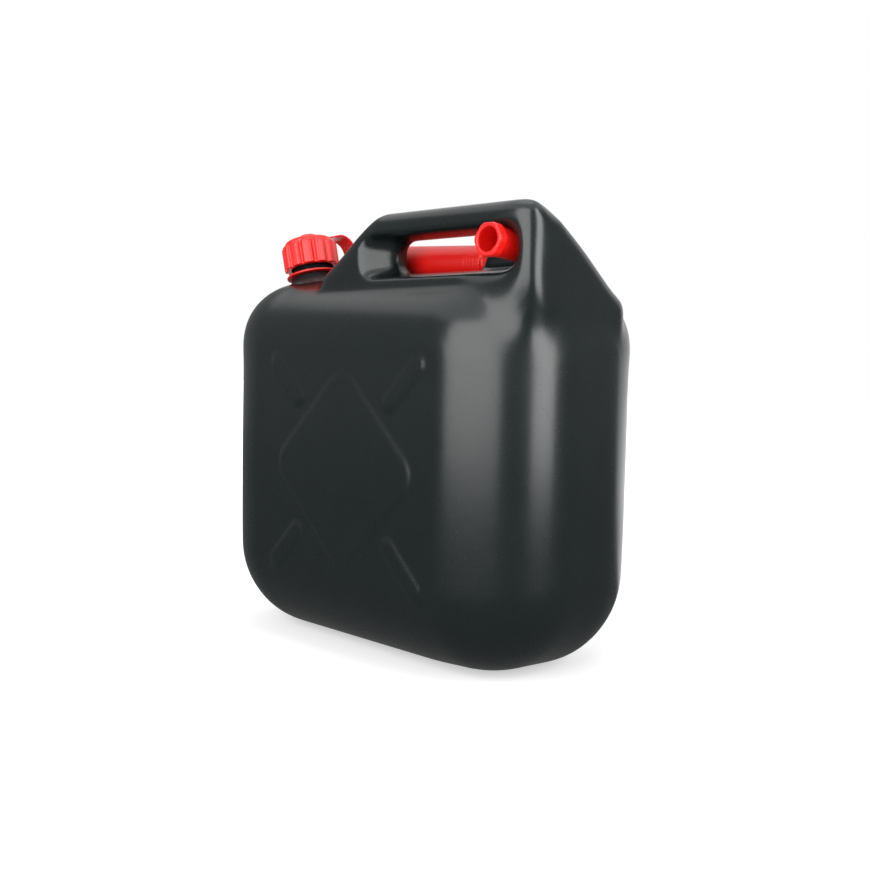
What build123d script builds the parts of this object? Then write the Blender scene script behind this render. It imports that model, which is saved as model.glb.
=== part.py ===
"""Ten-litre plastic fuel can: a hollow blown body, a screw cap on a tether and a stowed pouring spout.

Units are millimetres. The origin is the centre of the base, X runs along the broad side from the
neck end to the handle end, Y is the depth with the near broad face at -Y, and Z is up.
"""
from build123d import *
from math import cos, radians, sin
import os

# Can body: the block that holds the fuel
can_width = 310.0
can_depth = 166.0
deck_height = 268.0
wall = 2.6
corner_radius = 66.0
base_edge_radius = 65.0
deck_edge_radius = 54.0

# Handle ridge on the deck, set towards the near face
handle_rise = 41.0
handle_setback = 21.0
handle_end_setback = 3.0
handle_thickness = 31.0
handle_foot_length = 202.0
handle_crest_length = 140.0
handle_bend_radius = 28.0
handle_corner_radius = 18.0
handle_edge_radius = 10.0
handle_root = 40.0
ridge_root = 16.0

# End of the ridge: a buttress that slopes to the far side, and a shoulder under its near corner
buttress_length = 18.0
buttress_crest_width = 17.0
buttress_span = 102.0
buttress_foot_drop = 18.0
shoulder_length = 60.0
shoulder_width = 62.0
shoulder_drop = 62.0
shoulder_taper = 12.0

# Saddle behind the opening that the nozzle lies over
saddle_length = 50.0
saddle_rise = 13.0
saddle_edge_radius = 6.0

# Finger opening through the handle: a straight throat whose near end flares
opening_length = 119.0
opening_height = 23.0
opening_corner_radius = 9.0
flare_depth = 18.0
flare_left = 18.0
flare_right = 4.0
flare_low = 4.0
flare_high = 2.0

# Embossed lozenge and its four arms on both broad faces
emboss_height = 0.8
emboss_shift = 5.0
lozenge_width = 150.0
lozenge_height = 144.0
lozenge_corner_radius = 16.0
arm_width = 12.0
arm_gap = 10.0
arm_reach = 112.0
emboss_taper = 35.0

# Neck, tilted towards the end of the can
neck_end_setback = 58.0
neck_setback = 57.0
neck_tilt = 15.0
neck_outer_radius = 15.0
neck_bore_radius = 12.4
neck_length = 27.8
neck_root = 24.0
neck_boss_radius = 17.2
neck_boss_height = 3.5
neck_bead_radius = 16.6
neck_bead_width = 1.4
thread_height = 1.0
thread_width = 1.5
thread_pitch = 4.0
thread_length = 10.0
thread_start = 16.0
thread_root_share = 0.35

# Cap
cap_radius = 18.9
cap_height = 22.4
cap_top_thickness = 3.2
cap_rib_count = 12
cap_rib_height = 2.4
cap_rib_width = 8.2
cap_rib_edge_radius = 2.2
cap_rib_drop = 3.6
cap_edge_radius = 3.0
knob_radius = 6.8
knob_stem_radius = 4.6
knob_height = 2.5
seal_thickness = 1.6
seal_inner_radius = 11.6

# Tether
tether_thickness = 1.3
tether_ring_width = 5.2
strap_width = 14.0
eyelet_outer_radius = 8.0
strap_reach = 42.0
strap_direction = 90.0
strap_end_radius = 12.0
strap_arch = 8.0
strap_flat = 2.5

# Spout
spout_offset = 21.0
spout_length = 170.5
spout_left_rise = 13.5
spout_bend_rise = 8.0
tube_radius = 12.0
tube_wall = 1.8
groove_count = 5
groove_depth = 0.5
groove_pitch = 2.8
nozzle_radius = 9.6
nozzle_bore_radius = 7.8
nozzle_length = 50.0
nozzle_end_setback = 29.5
nozzle_reach = 7.0
nozzle_mouth_rise = 16.0
nozzle_bend_radius = 26.0
mouth_flat_width = 20.4
mouth_radius = 10.9
mouth_length = 6.8
flange_thickness = 2.4

# Spout collar
collar_length = 18.0
collar_wall = 2.2
collar_rib_count = 16
collar_rib_height = 0.9

# Clearances
running_gap = 0.3
seat_gap = 0.3

# Edges that lie further apart than this are told apart when some of them are rounded
pick_margin = 1.0

# Places that follow from the block
handle_top = deck_height + handle_rise
handle_near_y = handle_setback - can_depth / 2
handle_far_y = handle_near_y + handle_thickness
handle_end_x = can_width / 2 - handle_end_setback
buttress_start_x = handle_end_x - buttress_length
ridge_foot_z = deck_height - ridge_root
root_z = deck_height - handle_root
lozenge_centre_z = deck_height / 2
neck_x = neck_end_setback - can_width / 2
neck_y = neck_setback - can_depth / 2

# Places of the stowed spout
spout_y = handle_far_y + spout_offset
nozzle_x = handle_end_x - nozzle_end_setback
spout_left_x = nozzle_x - spout_length
spout_bend_x = nozzle_x - nozzle_length
spout_left_z = deck_height + spout_left_rise
spout_bend_z = deck_height + spout_bend_rise
nozzle_mouth_y = handle_near_y - nozzle_reach
nozzle_mouth_z = deck_height + nozzle_mouth_rise

# Sizes that follow: the cap and the collar share the neck's thread
thread_bore_radius = neck_outer_radius + thread_height + running_gap
collar_radius = thread_bore_radius + collar_wall + collar_rib_height
flange_radius = thread_bore_radius - running_gap


def placed(shape, plane):
    """Carry a shape drawn about the origin onto a plane."""
    return plane.location * shape


def tilted_plane(height):
    """Plane across the neck's axis, a distance above the deck along that axis."""
    axis = Vector(-sin(radians(neck_tilt)), 0, cos(radians(neck_tilt)))
    foot = Vector(neck_x, neck_y, deck_height)
    across = Vector(cos(radians(neck_tilt)), 0, sin(radians(neck_tilt)))
    return Plane(origin=foot + axis * height, x_dir=across, z_dir=axis)


def upright(radius, height, plane, start=0.0):
    """Cylinder that stands on a plane."""
    return placed(Pos(0, 0, start + height / 2) * Cylinder(radius, height), plane)


def spout_plane():
    """Plane across the stowed spout's straight tube, at its collar end."""
    start = Vector(spout_left_x, spout_y, spout_left_z)
    end = Vector(spout_bend_x, spout_y, spout_bend_z)
    return Plane(origin=start, x_dir=(0, 1, 0), z_dir=(end - start))


def tube_length():
    return (Vector(spout_bend_x, spout_y, spout_bend_z) - Vector(spout_left_x, spout_y, spout_left_z)).length


def block(inset):
    """The fuel block: a rounded plan, with softer edges round the base and the deck."""
    plan = RectangleRounded(can_width - 2 * inset, can_depth - 2 * inset, corner_radius - inset)
    solid = Pos(0, 0, inset) * extrude(plan, deck_height - 2 * inset)
    solid = fillet(solid.edges().group_by(Axis.Z)[0], base_edge_radius - inset)
    return fillet(solid.edges().group_by(Axis.Z)[-1], deck_edge_radius - inset)


def above(height):
    """Large block of space that starts at a height."""
    return Pos(0, 0, height + can_width) * Box(2 * can_width, 2 * can_width, 2 * can_width)


def grip(inset):
    """The handle ridge in side view, with a sloping front leg and soft edges all round."""
    top = handle_top - inset
    near = handle_near_y + inset
    foot_x = handle_end_x - handle_foot_length + inset
    corners = [
        (foot_x, root_z),
        (foot_x, deck_height),
        (handle_end_x - handle_crest_length + inset, top),
        (handle_end_x - inset, top),
        (handle_end_x - inset, root_z),
    ]
    side = make_face(Polyline(*corners, close=True))
    bend = side.vertices().sort_by(Axis.Y)[-2:].sort_by(Axis.X)
    side = fillet(bend[0], handle_bend_radius)
    side = fillet(side.vertices().sort_by(Axis.Y)[-1], handle_corner_radius - inset)
    solid = extrude(Plane(origin=(0, near, 0), x_dir=(1, 0, 0), z_dir=(0, -1, 0)) * side,
                    -(handle_thickness - 2 * inset))
    loops = solid.edges().group_by(Axis.Y)
    rims = (loops[0] + loops[-1]).filter_by(lambda edge: edge.center().Z > root_z + pick_margin)
    return fillet(rims, handle_edge_radius - inset) & above(ridge_foot_z + inset)


def buttress(inset):
    """The end of the ridge, widened by a slope towards the far side."""
    near = handle_near_y + inset
    crest_y = handle_near_y + buttress_crest_width - inset
    foot_y = handle_near_y + buttress_span - inset
    keel_y = corner_radius - can_depth / 2
    top = handle_top - inset
    section = make_face(Polyline(
        (near, ridge_foot_z + inset), (near, top), (crest_y, top),
        (foot_y, deck_height - buttress_foot_drop - inset), (foot_y, root_z), (keel_y, root_z), close=True))
    start = Plane(origin=(buttress_start_x + inset, 0, 0), x_dir=(0, 1, 0), z_dir=(1, 0, 0))
    solid = extrude(start * section, buttress_length - 2 * inset)
    end = handle_end_x - inset - pick_margin
    end_edges = solid.edges().filter_by(lambda edge: edge.center().X > end)
    end_rim = end_edges.filter_by(lambda edge: edge.center().Z > ridge_foot_z)
    foot_rim = end_edges.filter_by(lambda edge: edge.center().Y > foot_y - pick_margin)
    crown = solid.edges().filter_by(Axis.X).filter_by(
        lambda edge: edge.center().Z > root_z + inset + ridge_root)
    return fillet(end_rim + foot_rim + crown, handle_edge_radius - inset)


def shoulder(inset):
    """The tapered root under the ridge's near end, that dies into the block's round corner."""
    length = shoulder_length - 2 * inset
    width = shoulder_width - 2 * inset
    foot = Plane(origin=(handle_end_x - shoulder_length / 2, handle_near_y + shoulder_width / 2,
                         ridge_foot_z + inset), z_dir=(0, 0, -1))
    return extrude(foot * RectangleRounded(length, width, handle_edge_radius - inset), shoulder_drop,
                   taper=shoulder_taper)


def saddle(inset):
    """The raised rest behind the opening's end, under the spout's nozzle."""
    near = (handle_near_y + handle_far_y) / 2
    left = buttress_start_x - saddle_length + inset
    length = handle_end_x - buttress_length / 2 - left
    depth = spout_y - inset - near
    top = deck_height + saddle_rise - inset
    height = top - root_z
    solid = Pos(left + length / 2, near + depth / 2, root_z + height / 2) * Box(length, depth, height)
    rims = solid.edges().filter_by(lambda edge: edge.center().Z > top - pick_margin)
    shown = rims.sort_by(Axis.X)[:1] + rims.sort_by(Axis.Y)[-1:]
    return fillet(shown, saddle_edge_radius - inset)


def slot_face(left, right, low, high, y, growth):
    """Upright rounded face across the finger opening, grown on every side."""
    plane = Plane(origin=((left + right) / 2, y, (low + high) / 2), x_dir=(1, 0, 0), z_dir=(0, 1, 0))
    return plane * RectangleRounded(right - left + 2 * growth, high - low + 2 * growth,
                                    opening_corner_radius + growth)


def opening(inset):
    """The finger opening. Its floor is at deck height, and it flares most towards the neck."""
    left, right = buttress_start_x - opening_length, buttress_start_x
    low, high = deck_height, deck_height + opening_height
    throat_y = handle_near_y + flare_depth
    throat = slot_face(left, right, low, high, throat_y, inset)
    flared = slot_face(left - flare_left, right + flare_right, low - flare_low, high + flare_high,
                       handle_near_y, inset)
    return loft([flared, throat], ruled=True) + extrude(throat, handle_thickness - flare_depth + inset)


def nest(inset):
    """The trough in the deck that the spout's collar, tube and nozzle lie in."""
    margin = running_gap + inset
    along = spout_plane()
    collar = upright(collar_radius + margin, collar_length + 2 * margin, along, -margin)
    tube = upright(tube_radius + margin, tube_length() + tube_radius, along)
    return collar + tube + nozzle_sweep(nozzle_radius + margin)


def nozzle_corner_z():
    """Height of the nozzle's axis where it turns towards the near face."""
    along = nozzle_x - spout_bend_x
    across = spout_y - nozzle_mouth_y
    return spout_bend_z + (nozzle_mouth_z - spout_bend_z) * along / (along + across)


def can_form(inset):
    """Outer surface of the can, or its cavity when inset by the wall."""
    form = block(inset) + grip(inset) + buttress(inset) + shoulder(inset) + saddle(inset)
    return form - opening(inset) - nest(inset)


def helical_ridge(radius, start, length, height, plane):
    """Screw thread ridge: height is positive outwards and negative inwards."""
    path = Helix(pitch=thread_pitch, height=length, radius=radius)
    root = thread_root_share * abs(height)
    inner = -root if height > 0 else root
    profile = Plane(origin=path @ 0, x_dir=(1, 0, 0), z_dir=path % 0) * make_face(Polyline(
        (inner, -thread_width / 2), (height, -thread_width / 4), (height, thread_width / 4),
        (inner, thread_width / 2), close=True))
    return placed(Pos(0, 0, start) * sweep(profile, path=path, is_frenet=True), plane)


def emboss_outline():
    """Rounded lozenge with four arms that run towards the face's corners."""
    lozenge = make_face(Polyline(
        (-lozenge_width / 2, 0), (0, lozenge_height / 2), (lozenge_width / 2, 0), (0, -lozenge_height / 2),
        close=True))
    outline = fillet(lozenge.vertices(), lozenge_corner_radius)
    edge_distance = lozenge_width * lozenge_height / (lozenge_width + lozenge_height) / 2 ** 0.5
    start = edge_distance + arm_gap
    length = arm_reach - start
    for turn in (45, 135, 225, 315):
        outline += Rot(0, 0, turn) * Pos(start + length / 2, 0) * SlotOverall(length, arm_width)
    return outline


def embossing():
    """The raised figure on the near and the far broad face."""
    near = Plane(origin=(emboss_shift, -can_depth / 2, lozenge_centre_z), x_dir=(1, 0, 0), z_dir=(0, -1, 0))
    far = Plane(origin=(emboss_shift, can_depth / 2, lozenge_centre_z), x_dir=(-1, 0, 0), z_dir=(0, 1, 0))
    outline = emboss_outline()
    figures = [extrude(face * outline, emboss_height, taper=emboss_taper) for face in (near, far)]
    backs = [extrude(face * outline, -wall / 2) for face in (near, far)]
    return figures[0] + backs[0] + figures[1] + backs[1]


def neck_outside():
    """Boss, neck and the bead that keeps the tether's ring on."""
    base = tilted_plane(0)
    boss = upright(neck_boss_radius, neck_boss_height + neck_root / 2, base, -neck_root / 2)
    tube = upright(neck_outer_radius, neck_root + neck_length, base, -neck_root)
    bead_start = neck_boss_height + tether_thickness + 2 * running_gap
    bead = upright(neck_bead_radius, neck_bead_width, base, bead_start)
    return boss + tube + bead


def make_body():
    """The can: one blown shell with its neck, handle and embossing."""
    outside = can_form(0) + embossing() + neck_outside()
    bore = upright(neck_bore_radius, 2 * neck_root + neck_length, tilted_plane(0), -neck_root)
    shell = outside - can_form(wall) - bore
    return shell + helical_ridge(neck_outer_radius, thread_start, thread_length, thread_height,
                                 tilted_plane(0))


def cap_rim():
    """Height of the cap's lower rim above the deck, along the neck."""
    return neck_length + seal_thickness + cap_top_thickness - cap_height


def make_cap():
    """Screw cap with grip ribs, an internal thread and a knob for the tether's eyelet."""
    plane = tilted_plane(0)
    shell = Pos(0, 0, cap_rim() + cap_height / 2) * Cylinder(cap_radius, cap_height)
    shell = fillet(shell.edges().group_by(Axis.Z)[-1], cap_edge_radius)
    rib_length = cap_height - cap_rib_drop
    rib = Pos(cap_radius, 0, cap_rim() + rib_length / 2) * Box(2 * cap_rib_height, cap_rib_width, rib_length)
    rib = fillet(rib.edges().filter_by(Axis.Z).sort_by(Axis.X)[-2:], cap_rib_edge_radius)
    rib = chamfer(rib.edges().group_by(Axis.Z)[-1].sort_by(Axis.X)[-1], cap_rib_height / 2)
    for index in range(cap_rib_count):
        shell += Rot(0, 0, (index + 0.5) * 360 / cap_rib_count) * rib
    inside = neck_length + seal_thickness - cap_rim()
    shell -= Pos(0, 0, cap_rim() + inside / 2) * Cylinder(thread_bore_radius, inside)
    top = cap_rim() + cap_height
    stem = Pos(0, 0, top + tether_gap() / 2) * Cylinder(knob_stem_radius, tether_gap())
    button = Pos(0, 0, top + tether_gap() + knob_height / 2) * Cylinder(knob_radius, knob_height)
    button = fillet(button.edges().group_by(Axis.Z)[-1], knob_height / 2)
    thread = helical_ridge(thread_bore_radius, thread_start + thread_pitch / 2,
                           thread_length - thread_pitch / 2, -thread_height, Plane.XY)
    return placed(shell + stem + button + thread, plane)


def tether_gap():
    """Space between the cap's top and the knob's button, for the eyelet."""
    return tether_thickness + 2 * running_gap


def make_cap_seal():
    """Flat ring between the neck's lip and the cap's top."""
    outer = neck_outer_radius + thread_height
    ring = Pos(0, 0, neck_length + seal_thickness / 2) * Cylinder(outer, seal_thickness)
    ring -= Pos(0, 0, neck_length + seal_thickness / 2) * Cylinder(seal_inner_radius, seal_thickness)
    return placed(ring, tilted_plane(0))


def make_tether():
    """Ring round the neck, strap and eyelet on the knob, moulded in one piece."""
    ring_inner = neck_outer_radius + running_gap
    ring_outer = ring_inner + tether_ring_width
    ring_low = neck_boss_height + running_gap
    eyelet_low = cap_rim() + cap_height + running_gap
    ring = Pos(0, 0, ring_low + tether_thickness / 2) * (
        Cylinder(ring_outer, tether_thickness) - Cylinder(ring_inner, tether_thickness))
    eyelet_inner = knob_stem_radius + running_gap
    eyelet = Pos(0, 0, eyelet_low + tether_thickness / 2) * (
        Cylinder(eyelet_outer_radius, tether_thickness) - Cylinder(eyelet_inner, tether_thickness))
    low = ring_low + tether_thickness / 2
    high = eyelet_low + tether_thickness / 2
    path = FilletPolyline(
        (ring_outer - tether_thickness, low), (strap_reach, low), (strap_reach, high + strap_arch),
        (eyelet_outer_radius + strap_flat, high), (eyelet_outer_radius - tether_thickness, high),
        radius=strap_end_radius)
    band = trace(path, line_width=tether_thickness)
    strap = extrude(Plane.XZ.offset(-strap_width / 2) * band, strap_width)
    turned = Rot(0, 0, strap_direction) * (ring + strap + eyelet)
    return placed(turned, tilted_plane(0))


def make_spout():
    """Pouring spout: flanged tube, grooved length that bends, and a nozzle turned into the opening."""
    along = spout_plane()
    length = tube_length()
    flange_start = collar_length - collar_wall - seat_gap - flange_thickness
    flange = upright(flange_radius, flange_thickness, along, flange_start)
    tube = upright(tube_radius, length - flange_start, along, flange_start)
    for index in range(groove_count):
        place = length - groove_pitch * (index + 1)
        cut = upright(tube_radius + groove_depth, groove_pitch / 2, along, place)
        tube -= cut - upright(tube_radius - groove_depth, groove_pitch / 2, along, place)
    route = nozzle_route()
    mouth_plane = Plane(origin=route @ 1, x_dir=(1, 0, 0), z_dir=route % 1)
    hexagon = RegularPolygon(mouth_flat_width / 2, 6, major_radius=False)
    mouth = extrude(mouth_plane * (hexagon & Circle(mouth_radius)), -mouth_length)
    wide_bore = upright(tube_radius - tube_wall, length - flange_start - tube_wall, along, flange_start)
    solid = tube + flange + nozzle_sweep(nozzle_radius) + mouth
    return solid - nozzle_sweep(nozzle_bore_radius) - wide_bore


def nozzle_route():
    """Centre line of the nozzle, from the tube's end to the mouth."""
    return FilletPolyline(
        (spout_bend_x - tube_wall, spout_y, spout_bend_z),
        (nozzle_x, spout_y, nozzle_corner_z()),
        (nozzle_x, nozzle_mouth_y, nozzle_mouth_z),
        radius=nozzle_bend_radius)


def nozzle_sweep(radius):
    """Round bar along the nozzle's centre line."""
    route = nozzle_route()
    start = Plane(origin=route @ 0, x_dir=(0, 1, 0), z_dir=route % 0)
    return sweep(start * Circle(radius), path=route)


def make_spout_collar():
    """Threaded nut that screws the spout on the neck, free to turn on the spout's tube."""
    along = spout_plane()
    nut = Pos(0, 0, collar_length / 2) * Cylinder(collar_radius - collar_rib_height, collar_length)
    rib = Pos(collar_radius - collar_rib_height, 0, collar_length / 2) * Cylinder(
        collar_rib_height, collar_length)
    for index in range(collar_rib_count):
        nut += Rot(0, 0, index * 360 / collar_rib_count) * rib
    hollow = collar_length - collar_wall
    nut -= Pos(0, 0, hollow / 2) * Cylinder(thread_bore_radius, hollow)
    nut -= Pos(0, 0, collar_length - collar_wall / 2) * Cylinder(tube_radius + running_gap, collar_wall)
    return placed(nut, along)


def make_spout_seal():
    """Flat ring in the collar, against the spout's flange."""
    flange_start = collar_length - collar_wall - seat_gap - flange_thickness
    middle = flange_start - seal_thickness / 2
    ring = Pos(0, 0, middle) * (Cylinder(flange_radius, seal_thickness)
                                - Cylinder(seal_inner_radius, seal_thickness))
    return placed(ring, spout_plane())


pieces = {
    "body": make_body,
    "cap": make_cap,
    "cap_seal": make_cap_seal,
    "tether": make_tether,
    "spout": make_spout,
    "spout_collar": make_spout_collar,
    "spout_seal": make_spout_seal,
}
os.makedirs("parts", exist_ok=True)
for name, make in pieces.items():
    export_step(make(), f"parts/{name}.step")
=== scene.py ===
"""Ten-litre plastic fuel can with a tethered screw cap and a stowed pouring spout.

Everything is in metres, in the frame's own axes: X along the broad side, Y away from the near face, Z up.
"""
import bmesh
import bpy
import math
from mathutils import Matrix, Vector


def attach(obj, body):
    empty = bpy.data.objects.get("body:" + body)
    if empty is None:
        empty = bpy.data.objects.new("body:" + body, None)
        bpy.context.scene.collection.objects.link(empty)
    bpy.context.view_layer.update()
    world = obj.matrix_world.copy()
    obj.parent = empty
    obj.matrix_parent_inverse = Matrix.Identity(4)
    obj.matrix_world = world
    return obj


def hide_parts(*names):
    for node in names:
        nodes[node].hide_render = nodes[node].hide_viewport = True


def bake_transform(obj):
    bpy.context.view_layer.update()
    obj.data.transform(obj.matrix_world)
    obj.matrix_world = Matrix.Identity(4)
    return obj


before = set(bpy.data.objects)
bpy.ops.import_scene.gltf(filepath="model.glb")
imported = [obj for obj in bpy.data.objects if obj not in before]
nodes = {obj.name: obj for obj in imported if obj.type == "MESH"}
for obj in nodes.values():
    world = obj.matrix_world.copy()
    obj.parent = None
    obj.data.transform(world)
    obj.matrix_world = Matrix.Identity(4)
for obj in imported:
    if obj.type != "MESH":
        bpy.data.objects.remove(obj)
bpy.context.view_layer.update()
mm = 0.001


# Can shell. Black high-density polyethylene, blown in one piece in a two-part mould, so every
# edge runs into the next with a soft radius and the broad faces swell a little. The skin is taken
# from the frame's solid, eased as a blown skin is, and carries a shallow figure on both faces.
neck_foot = Vector((-97.0, -26.0, 268.0)) * mm
neck_axis = Vector((-math.sin(math.radians(15.0)), 0.0, math.cos(math.radians(15.0))))
neck_clearing_radius = 17.6 * mm
neck_clearing_start = -34.0 * mm
weld_distance = 0.005 * mm
shell_grid = 2.0 * mm
shell_easing_rounds = 26
easing_share = 0.5
can_half_depth = 82.7 * mm
can_half_width = 155.0 * mm
belly_z = 138.0 * mm
belly_reach = 110.0 * mm
base_draft = 1.2 * mm
shoulder_draft = 0.8 * mm
draft_fade_start = 200.0 * mm
draft_fade_end = 244.0 * mm
flat_face_start = 0.86
flat_face_run = 0.12
root_blend_centre = Vector((146.0, -70.0, 242.0)) * mm
root_blend_reach = 62.0 * mm
edge_blend_centre = Vector((152.0, -62.0, 284.0)) * mm
edge_blend_reach = 34.0 * mm
blend_rounds = 260
figure_height = 1.0 * mm
figure_edge = 1.7 * mm
figure_centre_x = 5.0 * mm
figure_centre_z = 134.0 * mm
lozenge_half_width = 75.0 * mm
lozenge_half_height = 72.0 * mm
lozenge_corner_radius = 16.0 * mm
arm_half_width = 6.0 * mm
arm_start = 68.0 * mm
arm_end = 103.0 * mm
black_polyethylene_hex = "#0f1617"
black_polyethylene_roughness = 0.25
polyethylene_ior = 1.54
mould_grain = 1.2 * mm
grain_depth = 0.02 * mm
grain_strength = 0.15
noise_low = 0.3
noise_high = 0.7
gloss_least = 0.92
gloss_most = 1.1
glow_spread = (3.0, 0.8, 0.5)
blown_wave = 26.0 * mm
blown_wave_depth = 0.06 * mm
black_colour_swing = 0.06


def linear(hex_colour):
    """sRGB hex colour as the linear values that shader sockets take."""
    channels = [int(hex_colour[place:place + 2], 16) / 255 for place in (1, 3, 5)]
    return [c / 12.92 if c <= 0.04045 else ((c + 0.055) / 1.055) ** 2.4 for c in channels] + [1.0]


def add_node(tree, kind, settings=None, values=None, links=None):
    """Add a shader node, with its settings, its constant inputs and its links."""
    node = tree.nodes.new(kind)
    for name, value in (settings or {}).items():
        setattr(node, name, value)
    for name, value in (values or {}).items():
        node.inputs[name].default_value = value
    for name, source in (links or {}).items():
        tree.links.new(source, node.inputs[name])
    return node


def moulded_plastic(name, hex_colour, roughness, wave, wave_depth, colour_swing, glow=0.0):
    """Moulded plastic: mould grain, the slow waves of a cooled skin, small drifts of colour and gloss."""
    material = bpy.data.materials.new(name)
    material.use_nodes = True
    tree = material.node_tree
    tree.nodes.clear()
    place = add_node(tree, "ShaderNodeTexCoord").outputs["Object"]
    grain = add_node(tree, "ShaderNodeTexNoise", values={"Scale": 1 / mould_grain, "Detail": 3.0},
                     links={"Vector": place})
    slow = add_node(tree, "ShaderNodeTexNoise", values={"Scale": 1 / wave, "Detail": 2.0},
                    links={"Vector": place})
    base = linear(hex_colour)
    tint = add_node(tree, "ShaderNodeValToRGB", links={"Fac": slow.outputs["Fac"]})
    tint.color_ramp.elements[0].position = noise_low
    tint.color_ramp.elements[1].position = noise_high
    tint.color_ramp.elements[0].color = [channel * (1 - colour_swing) for channel in base[:3]] + [1.0]
    tint.color_ramp.elements[1].color = [channel * (1 + colour_swing) for channel in base[:3]] + [1.0]
    gloss = add_node(tree, "ShaderNodeMapRange", values={
        "From Min": noise_low, "From Max": noise_high,
        "To Min": roughness * gloss_least, "To Max": roughness * gloss_most},
        links={"Value": grain.outputs["Fac"]})
    waves = add_node(tree, "ShaderNodeBump", values={"Strength": 1.0, "Distance": wave_depth},
                     links={"Height": slow.outputs["Fac"]})
    bump = add_node(tree, "ShaderNodeBump", values={"Strength": grain_strength, "Distance": grain_depth},
                    links={"Height": grain.outputs["Fac"], "Normal": waves.outputs["Normal"]})
    surface = add_node(tree, "ShaderNodeBsdfPrincipled", values={
        "IOR": polyethylene_ior, "Subsurface Weight": glow, "Subsurface Radius": glow_spread,
        "Subsurface Scale": mm}, links={
        "Base Color": tint.outputs["Color"], "Roughness": gloss.outputs["Result"],
        "Normal": bump.outputs["Normal"]})
    add_node(tree, "ShaderNodeOutputMaterial", links={"Surface": surface.outputs["BSDF"]})
    return material


# Blown polyethylene keeps the mould's fine grain, which softens its reflections into broad grey bands.
black_polyethylene = moulded_plastic(
    "blown_black_polyethylene", black_polyethylene_hex, black_polyethylene_roughness,
    blown_wave, blown_wave_depth, black_colour_swing)


def eased_mesh(form, grid, rounds):
    """Even out a closed form on a fine grid and ease its edges, as moulding does."""
    mesh = bpy.data.meshes.new("rough")
    form.to_mesh(mesh)
    form.free()
    rough = bpy.data.objects.new("rough", mesh)
    bpy.context.scene.collection.objects.link(rough)
    remesh = rough.modifiers.new("grid", "REMESH")
    remesh.mode = "VOXEL"
    remesh.voxel_size = grid
    easing = rough.modifiers.new("easing", "SMOOTH")
    easing.factor = easing_share
    easing.iterations = rounds
    eased = bpy.data.meshes.new_from_object(rough.evaluated_get(bpy.context.evaluated_depsgraph_get()))
    bpy.data.objects.remove(rough)
    return eased


def new_piece(name, mesh, material, body):
    """Turn a mesh into a smooth shaded piece that rides on a body."""
    mesh.name = name
    mesh.materials.clear()
    mesh.materials.append(material)
    mesh.shade_smooth()
    piece = bpy.data.objects.new(name, mesh)
    bpy.context.scene.collection.objects.link(piece)
    if body:
        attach(piece, body)
    return piece


def welded_form(node):
    """The frame's mesh of a node with its split vertices joined."""
    form = bmesh.new()
    form.from_mesh(node.data)
    bmesh.ops.remove_doubles(form, verts=form.verts, dist=weld_distance)
    return form


def near_neck(point, radius):
    """True for a point inside a cylinder round the neck's axis."""
    offset = point - neck_foot
    along = offset.dot(neck_axis)
    return along > neck_clearing_start and (offset - neck_axis * along).length < radius


def outer_skin(form):
    """Take the neck off, keep only the outside of the can and close it over."""
    neck_faces = [face for face in form.faces
                  if all(near_neck(corner.co, neck_clearing_radius) for corner in face.verts)]
    bmesh.ops.delete(form, geom=neck_faces, context="FACES")
    start = min(form.verts, key=lambda vertex: vertex.co.z)
    reached, waiting = {start}, [start]
    while waiting:
        for edge in waiting.pop().link_edges:
            for vertex in edge.verts:
                if vertex not in reached:
                    reached.add(vertex)
                    waiting.append(vertex)
    inside = [vertex for vertex in form.verts if vertex not in reached]
    bmesh.ops.delete(form, geom=inside, context="VERTS")
    rim = [edge for edge in form.edges if edge.is_boundary]
    bmesh.ops.holes_fill(form, edges=rim, sides=0)
    bmesh.ops.triangulate(form, faces=form.faces)
    return form


def lozenge_distance(x, z):
    """Distance outside the rounded lozenge's outline, negative inside."""
    side = math.hypot(lozenge_half_width, lozenge_half_height)
    shrink = 1 - lozenge_corner_radius * side / (lozenge_half_width * lozenge_half_height)
    half_x, half_z = lozenge_half_width * shrink, lozenge_half_height * shrink
    x, z = abs(x), abs(z)
    share = half_x * half_x - half_z * half_z - 2 * (x * half_x - z * half_z)
    share = share / (half_x ** 2 + half_z ** 2)
    share = max(-1.0, min(1.0, share))
    gap = math.hypot(x - half_x * (1 - share) / 2, z - half_z * (1 + share) / 2)
    outside = x * half_z + z * half_x - half_x * half_z
    return math.copysign(gap, outside) - lozenge_corner_radius


def arm_distance(x, z):
    """Distance outside the nearest of the four arms, negative inside."""
    along = (abs(x) + abs(z)) * math.sqrt(0.5)
    across = (abs(x) - abs(z)) * math.sqrt(0.5)
    past = max(arm_start - along, 0.0, along - arm_end)
    return math.hypot(past, across) - arm_half_width


def soft_step(share):
    """0 below 0, 1 above 1, with a smooth run between."""
    share = max(0.0, min(1.0, share))
    return share * share * (3 - 2 * share)


def shape_faces(mesh):
    """Draw the sides in from the belly to base and shoulder, and raise the figure on both broad faces."""
    for vertex in mesh.vertices:
        x, y, z = vertex.co
        draft = base_draft if z < belly_z else shoulder_draft
        draft *= min(1.0, ((z - belly_z) / belly_reach) ** 2)
        draft *= 1 - soft_step((z - draft_fade_start) / (draft_fade_end - draft_fade_start))
        x *= 1 - draft / can_half_width
        y = math.copysign(min(abs(y), can_half_depth), y) * (1 - draft / can_half_depth)
        flat = soft_step((abs(y) / can_half_depth - flat_face_start) / flat_face_run)
        across, up = x - figure_centre_x, z - figure_centre_z
        figure = min(lozenge_distance(across, up), arm_distance(across, up))
        y += math.copysign(figure_height * soft_step(0.5 - figure / (2 * figure_edge)) * flat, y)
        vertex.co = x, y, z


def fall_off(distance, reach):
    """1 at no distance, running smoothly to 0 at the reach."""
    return max(0.0, 1 - (distance / reach) ** 2) ** 2


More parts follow.
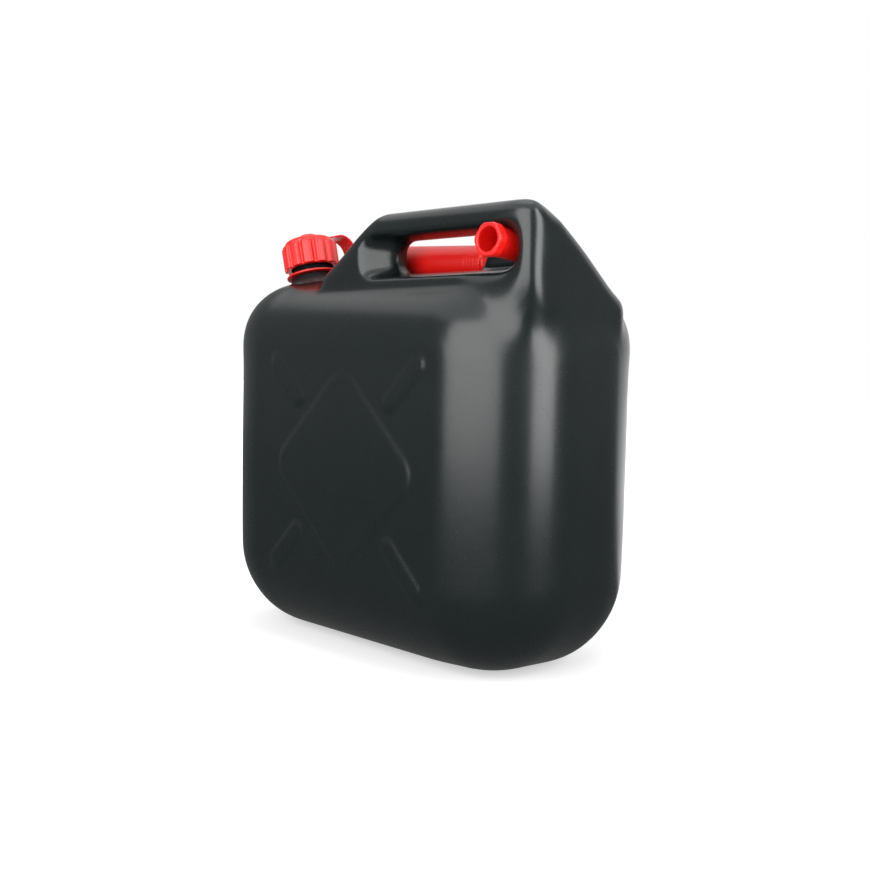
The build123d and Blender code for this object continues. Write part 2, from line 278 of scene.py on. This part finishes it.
def blend_shoulder(mesh):
    """Melt the ridge's root into the can's near corner, where the blown skin bridges the mould's hollow."""
    rough = bpy.data.objects.new("rough", mesh)
    bpy.context.scene.collection.objects.link(rough)
    group = rough.vertex_groups.new(name="shoulder")
    for vertex in mesh.vertices:
        weight = max(fall_off((vertex.co - root_blend_centre).length, root_blend_reach),
                     fall_off((vertex.co - edge_blend_centre).length, edge_blend_reach))
        if weight > 0:
            group.add([vertex.index], weight, "REPLACE")
    easing = rough.modifiers.new("easing", "SMOOTH")
    easing.factor = easing_share
    easing.iterations = blend_rounds
    easing.vertex_group = group.name
    blended = bpy.data.meshes.new_from_object(rough.evaluated_get(bpy.context.evaluated_depsgraph_get()))
    bpy.data.objects.remove(rough)
    return blended


# Where the blown skin stands fuller or flatter than the rounded form: centre, reach and move, in millimetres.
uneven_places = [
    ((-130, -58, 245), 52, (-1.2, -1.2, 1.4)),
    ((148, -8, 287), 44, (0.5, 0.6, 0.8)),
    ((138, 58, 238), 42, (1.0, 1.0, 1.6)),
    ((150, -40, 309), 17, (-1.0, -1.2, -1.5)),
    ((112, -34, 2), 60, (0.0, 0.0, 2.2)),
    ((-6, -50, 300), 34, (-1.9, 0.0, 1.0)),
]


def shape_unevenly(mesh):
    """Fill or flatten the skin at its uneven places."""
    for vertex in mesh.vertices:
        move = Vector((0, 0, 0))
        for centre, reach, full_move in uneven_places:
            distance = (vertex.co - Vector(centre) * mm).length
            move += Vector(full_move) * mm * fall_off(distance, reach * mm)
        vertex.co += move


outside = outer_skin(welded_form(nodes["body"]))
shell_mesh = blend_shoulder(eased_mesh(outside, shell_grid, shell_easing_rounds))
shape_unevenly(shell_mesh)
shape_faces(shell_mesh)
shell = new_piece("can_shell", shell_mesh, black_polyethylene, "can")
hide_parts("body")


# Neck. Part of the same blown can: a boss that flows out of the deck, a seat and a bead for the
# tether's ring, a right-hand thread of two and a half turns, and a cut lip.
neck_outline = [
    (26.0, -9.5), (22.0, -5.0), (19.5, -2.2), (18.0, 0.2), (17.3, 2.0), (17.1, 3.1), (16.7, 3.5),
    (15.3, 3.5), (15.0, 3.8), (15.0, 5.1), (15.3, 5.4), (16.2, 5.45), (16.6, 5.8), (16.6, 6.4),
    (16.2, 6.75), (15.3, 6.9), (15.0, 7.3), (15.0, 27.1), (14.7, 27.6), (14.2, 27.8), (12.9, 27.8),
    (12.5, 27.5), (12.4, 27.0), (12.4, -6.0)]
neck_steps = 96
thread_pitch = 4.0
thread_start = 16.0
thread_turns = 2.5
thread_section = [(-0.4, -0.85), (0.75, -0.5), (0.95, -0.25), (0.95, 0.25), (0.75, 0.5), (-0.4, 0.85)]
neck_radius = 15.0
thread_fade_turns = 0.08


def neck_matrix():
    """Carries a shape drawn about Z onto the tilted neck."""
    across = Vector((neck_axis.z, 0.0, -neck_axis.x))
    side = neck_axis.cross(across)
    turn = Matrix((across, side, neck_axis)).transposed().to_4x4()
    return Matrix.Translation(neck_foot) @ turn @ Matrix.Scale(mm, 4)


def turned_form(outline, steps):
    """Turn an outline of radius and height about Z."""
    form = bmesh.new()
    rings = []
    for step in range(steps):
        angle = 2 * math.pi * step / steps
        rings.append([form.verts.new((r * math.cos(angle), r * math.sin(angle), h)) for r, h in outline])
    for step in range(steps):
        ring, following = rings[step], rings[(step + 1) % steps]
        for low in range(len(outline) - 1):
            form.faces.new((ring[low], following[low], following[low + 1], ring[low + 1]))
    return form


def add_thread(form, radius, start, turns, section):
    """Sweep a thread's section round the neck, running in and out at its ends."""
    steps = int(turns * neck_steps)
    rings = []
    for step in range(steps + 1):
        turn = step / neck_steps
        fade = min(1.0, turn / thread_fade_turns, (turns - turn) / thread_fade_turns)
        angle = 2 * math.pi * turn
        ring = []
        for proud, height in section:
            reach = radius + (proud if proud < 0 else proud * fade)
            ring.append(form.verts.new((reach * math.cos(angle), reach * math.sin(angle),
                                        start + turn * thread_pitch + height)))
        rings.append(ring)
    for ring, following in zip(rings, rings[1:]):
        for place in range(len(section)):
            other = (place + 1) % len(section)
            form.faces.new((ring[place], following[place], following[other], ring[other]))
    for end in (rings[0], rings[-1]):
        form.faces.new(end)


neck_form = turned_form(neck_outline, neck_steps)
add_thread(neck_form, neck_radius, thread_start, thread_turns, thread_section)
bmesh.ops.recalc_face_normals(neck_form, faces=neck_form.faces)
neck_form.transform(neck_matrix())
neck_mesh = bpy.data.meshes.new("neck")
neck_form.to_mesh(neck_mesh)
neck_form.free()
new_piece("can_neck", neck_mesh, black_polyethylene, "can")


# Spout. Red low-density polyethylene, moulded with a flange at its collar end, a grooved length
# that lets it bend, and a nozzle turned forward through the handle's opening.
red_polyethylene_hex = "#de130e"
red_polyethylene_roughness = 0.36
red_wave = 14.0 * mm
red_wave_depth = 0.02 * mm
red_colour_swing = 0.03
red_glow = 0.08
spout_grid = 0.7 * mm
spout_easing_rounds = 2

# Low-density polyethylene is waxy: light goes a few tenths of a millimetre in, so its shaded side glows.
red_polyethylene = moulded_plastic(
    "moulded_red_polyethylene", red_polyethylene_hex, red_polyethylene_roughness,
    red_wave, red_wave_depth, red_colour_swing, red_glow)

spout_mesh = eased_mesh(welded_form(nodes["spout"]), spout_grid, spout_easing_rounds)
spout = new_piece("pouring_spout", spout_mesh, red_polyethylene, "can")
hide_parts("spout")


# Spout collar. The same red polyethylene, a threaded nut with fine grip ribs that turns freely on
# the spout and screws on the can's neck when the spout is in use.
collar_grid = 0.5 * mm
collar_easing_rounds = 2
collar_mesh = eased_mesh(welded_form(nodes["spout_collar"]), collar_grid, collar_easing_rounds)
collar = new_piece("spout_nut", collar_mesh, red_polyethylene, "collar")
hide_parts("spout_collar")


# Seals. Two flat rings cut from black nitrile rubber, one pressed in the cap and one in the collar.
seal_rubber_hex = "#1b1b1a"
seal_rubber_roughness = 0.75
seal_wave = 6.0 * mm
seal_wave_depth = 0.02 * mm
seal_colour_swing = 0.1

# Nitrile rubber cut from sheet is matt and dusty, so a seal reads as a plain dark line.
seal_rubber = moulded_plastic(
    "cut_nitrile_rubber", seal_rubber_hex, seal_rubber_roughness, seal_wave, seal_wave_depth, seal_colour_swing)
for seal in ("cap_seal", "spout_seal"):
    nodes[seal].data.materials.clear()
    nodes[seal].data.materials.append(seal_rubber)


# Tether. Red polyethylene, moulded flat in one piece: a ring held on the neck by its bead, a strap
# that bends over behind the cap, and an eyelet snapped over the cap's knob.
tether_grid = 0.4 * mm
tether_easing_rounds = 2
tether_mesh = eased_mesh(welded_form(nodes["tether"]), tether_grid, tether_easing_rounds)
tether = new_piece("cap_tether", tether_mesh, red_polyethylene, None)
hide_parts("tether")
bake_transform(tether)


# Cap. Red polyethylene, moulded with twelve broad grip ribs, a rounded crown and a flat knob that
# holds the tether's eyelet. It screws on the neck over its rubber ring.
cap_grid = 0.5 * mm
cap_easing_rounds = 9
cap_mesh = eased_mesh(welded_form(nodes["cap"]), cap_grid, cap_easing_rounds)
cap = new_piece("screw_cap", cap_mesh, red_polyethylene, "cap")
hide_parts("cap")


# Floor. A pale matt table top that catches the can's soft shadow. Far from the can the camera and the
# reflections see it white, so that it runs into the backdrop without an edge.
floor_half_size = 6.0
floor_hex = "#e6e6e6"
floor_whitening = 0.45
floor_far_whitening = 1.0
floor_near_radius = 0.55
floor_far_radius = 1.1
floor_mesh = bpy.data.meshes.new("floor")
floor_mesh.from_pydata([(-floor_half_size, -floor_half_size, 0), (floor_half_size, -floor_half_size, 0),
                        (floor_half_size, floor_half_size, 0), (-floor_half_size, floor_half_size, 0)],
                       [], [(0, 1, 2, 3)])
floor = bpy.data.objects.new("floor", floor_mesh)
bpy.context.scene.collection.objects.link(floor)


def seen_directly(tree):
    """1 for rays from the camera and for reflected or transmitted ones, 0 for the light that falls on things."""
    ray = add_node(tree, "ShaderNodeLightPath")
    mirror = add_node(tree, "ShaderNodeMath", {"operation": "MAXIMUM"}, links={
        0: ray.outputs["Is Camera Ray"], 1: ray.outputs["Is Glossy Ray"]})
    return add_node(tree, "ShaderNodeMath", {"operation": "MAXIMUM"}, links={
        0: mirror.outputs[0], 1: ray.outputs["Is Transmission Ray"]}).outputs[0]


floor_paint = bpy.data.materials.new("matt_pale_table")
floor_paint.use_nodes = True
floor_tree = floor_paint.node_tree
floor_tree.nodes.clear()
floor_matt = add_node(floor_tree, "ShaderNodeBsdfDiffuse", values={"Color": linear(floor_hex)})
floor_place = add_node(floor_tree, "ShaderNodeTexCoord").outputs["Object"]
floor_distance = add_node(floor_tree, "ShaderNodeVectorMath", {"operation": "LENGTH"}, links={0: floor_place})
floor_fade = add_node(floor_tree, "ShaderNodeMapRange", {"interpolation_type": "SMOOTHSTEP"}, {
    "From Min": floor_near_radius, "From Max": floor_far_radius, "To Min": floor_whitening,
    "To Max": floor_far_whitening}, {"Value": floor_distance.outputs["Value"]})
floor_top_up = add_node(floor_tree, "ShaderNodeMath", {"operation": "MULTIPLY"}, links={
    0: seen_directly(floor_tree), 1: floor_fade.outputs["Result"]})
floor_white = add_node(floor_tree, "ShaderNodeEmission", links={"Strength": floor_top_up.outputs[0]})
floor_sum = add_node(floor_tree, "ShaderNodeAddShader", links={
    0: floor_matt.outputs[0], 1: floor_white.outputs[0]})
add_node(floor_tree, "ShaderNodeOutputMaterial", links={"Surface": floor_sum.outputs[0]})
floor_mesh.materials.append(floor_paint)


# Studio screens. Grey screens round the table and over it, open behind the can, and a dark sheet on the table
# top. They are painted reflections: each glows with a set grey of its own, lit by no lamp, and only reflections
# show them, as flags are set for a black gloss part: the lamps' bands then stand out on the plastic, while the
# camera and the light that falls on things pass through.
screen_radius = 2.3
screen_height = 1.9
screen_low = 0.002
screen_start_azimuth = -119.0
screen_end_azimuth = 162.0
screen_steps = 40
# How bright each painted reflection glows, 1 being white.
screen_brightness = 0.27
ceiling_brightness = 1.2
table_reflection_glow = 0.16


def toward(azimuth, distance, height):
    """Point at an azimuth counted from -Y towards +X, round the can."""
    turn = math.radians(azimuth)
    return Vector((distance * math.sin(turn), -distance * math.cos(turn), height))


def glowing_screen_paint(name, brightness):
    """Painted reflection: a sheet that glows the same grey everywhere of itself, lit by no lamp."""
    glow_sheet = bpy.data.materials.new(name)
    glow_sheet.use_nodes = True
    glow_sheet.node_tree.nodes.clear()
    grey = add_node(glow_sheet.node_tree, "ShaderNodeEmission", values={"Strength": brightness})
    add_node(glow_sheet.node_tree, "ShaderNodeOutputMaterial", links={"Surface": grey.outputs[0]})
    return glow_sheet


def reflected_screen(name, points, faces, brightness):
    """A screen that only reflections show."""
    mesh = bpy.data.meshes.new(name)
    mesh.from_pydata(points, [], faces)
    mesh.materials.append(glowing_screen_paint(name, brightness))
    screen = bpy.data.objects.new(name, mesh)
    bpy.context.scene.collection.objects.link(screen)
    screen.visible_camera = False
    screen.visible_diffuse = False
    screen.visible_shadow = False


screen_azimuths = [screen_start_azimuth + (screen_end_azimuth - screen_start_azimuth) * step / screen_steps
                   for step in range(screen_steps + 1)]
low_rim = [toward(azimuth, screen_radius, screen_low) for azimuth in screen_azimuths]
high_rim = [toward(azimuth, screen_radius, screen_height) for azimuth in screen_azimuths]
upright_faces = [(step, step + 1, screen_steps + 2 + step, screen_steps + 1 + step)
                 for step in range(screen_steps)]
level_faces = [(step, step + 1, screen_steps + 1) for step in range(screen_steps)]
# Painted reflections: glowing wall, ceiling and table sheets that only reflections see.
reflected_screen("painted_reflection_wall", low_rim + high_rim, upright_faces, screen_brightness)
ceiling_points = high_rim + [Vector((0, 0, screen_height))]
table_reflection_points = low_rim + [Vector((0, 0, screen_low))]
reflected_screen("painted_reflection_ceiling", ceiling_points, level_faces, ceiling_brightness)
reflected_screen("painted_reflection_table", table_reflection_points, level_faces, table_reflection_glow)


# Lamps. Two upright softboxes stand to the front and to the right, with a dark gap between them that
# shows down the near corner, and a third hangs over the handle.
lamp_distance = 1.5
lamp_low = 0.004
lamp_high = 1.5
front_azimuth = 14.0
front_width = 62.0
front_brightness = 3.9
side_azimuth = 92.0
side_width = 25.0
side_brightness = 6.2


def softbox(name, azimuth, width, brightness):
    """Upright area lamp that faces the can: its azimuth and width in degrees, and how bright it looks."""
    lamp = bpy.data.lights.new(name, "AREA")
    lamp.shape = "RECTANGLE"
    lamp.size = 2 * lamp_distance * math.tan(math.radians(width / 2))
    lamp.size_y = lamp_high - lamp_low
    lamp.energy = brightness * math.pi * lamp.size * lamp.size_y
    holder = bpy.data.objects.new(name, lamp)
    lamp_middle = (lamp_low + lamp_high) / 2
    holder.location = toward(azimuth, lamp_distance, lamp_middle)
    level_aim = Vector((0, 0, lamp_middle))
    holder.rotation_euler = (level_aim - holder.location).to_track_quat("-Z", "Y").to_euler()
    holder.visible_camera = False
    bpy.context.scene.collection.objects.link(holder)


softbox("front_softbox", front_azimuth, front_width, front_brightness)
softbox("side_softbox", side_azimuth, side_width, side_brightness)

overhead_size = 1.1
overhead_height = 1.7
overhead_brightness = 1.2
overhead = bpy.data.lights.new("overhead_softbox", "AREA")
overhead.shape = "SQUARE"
overhead.size = overhead_size
overhead.energy = overhead_brightness * math.pi * overhead_size ** 2
overhead_holder = bpy.data.objects.new("overhead_softbox", overhead)
overhead_holder.location = (0, 0, overhead_height)
overhead_holder.visible_camera = False
bpy.context.scene.collection.objects.link(overhead_holder)


# Backdrop. A white sweep behind the table: white to the camera and in reflections, and a plain grey
# fill for the light that falls on things.
fill_strength = 0.5
world = bpy.data.worlds.new("backdrop")
bpy.context.scene.world = world
world.use_nodes = True
world.node_tree.nodes.clear()
backdrop_strength = add_node(world.node_tree, "ShaderNodeMapRange", values={
    "To Min": fill_strength, "To Max": 1.0}, links={"Value": seen_directly(world.node_tree)})
backdrop = add_node(world.node_tree, "ShaderNodeBackground", values={"Color": (1, 1, 1, 1)},
                    links={"Strength": backdrop_strength.outputs["Result"]})
add_node(world.node_tree, "ShaderNodeOutputWorld", links={"Surface": backdrop.outputs[0]})


# Camera. It stands off the near handle corner, a little below the deck's level, and near enough
# that the far edges draw together, as in the photograph.
camera_place = Vector((0.5675, -0.5581, 0.2129))
camera_yaw = math.radians(44.81)
camera_pitch = math.radians(4.23)
camera_roll = math.radians(-1.23)
camera_focal_pixels = 1078.0
picture_width_pixels = 870.0
sensor_width = 36.0


def camera_axes():
    """Right, up and forward directions of the camera."""
    forward = Vector((-math.sin(camera_yaw) * math.cos(camera_pitch),
                      math.cos(camera_yaw) * math.cos(camera_pitch), -math.sin(camera_pitch)))
    level_right = Vector((math.cos(camera_yaw), math.sin(camera_yaw), 0))
    level_down = forward.cross(level_right)
    right = level_right * math.cos(camera_roll) + level_down * math.sin(camera_roll)
    down = level_down * math.cos(camera_roll) - level_right * math.sin(camera_roll)
    return right, -down, forward


lens = bpy.data.cameras.new("camera")
lens.sensor_width = sensor_width
lens.lens = camera_focal_pixels / picture_width_pixels * sensor_width
camera = bpy.data.objects.new("camera", lens)
right, up, forward = camera_axes()
camera.matrix_world = Matrix.Translation(camera_place) @ Matrix((right, up, -forward)).transposed().to_4x4()
bpy.context.scene.collection.objects.link(camera)
bpy.context.scene.camera = camera
bpy.context.scene.view_settings.view_transform = "Standard"
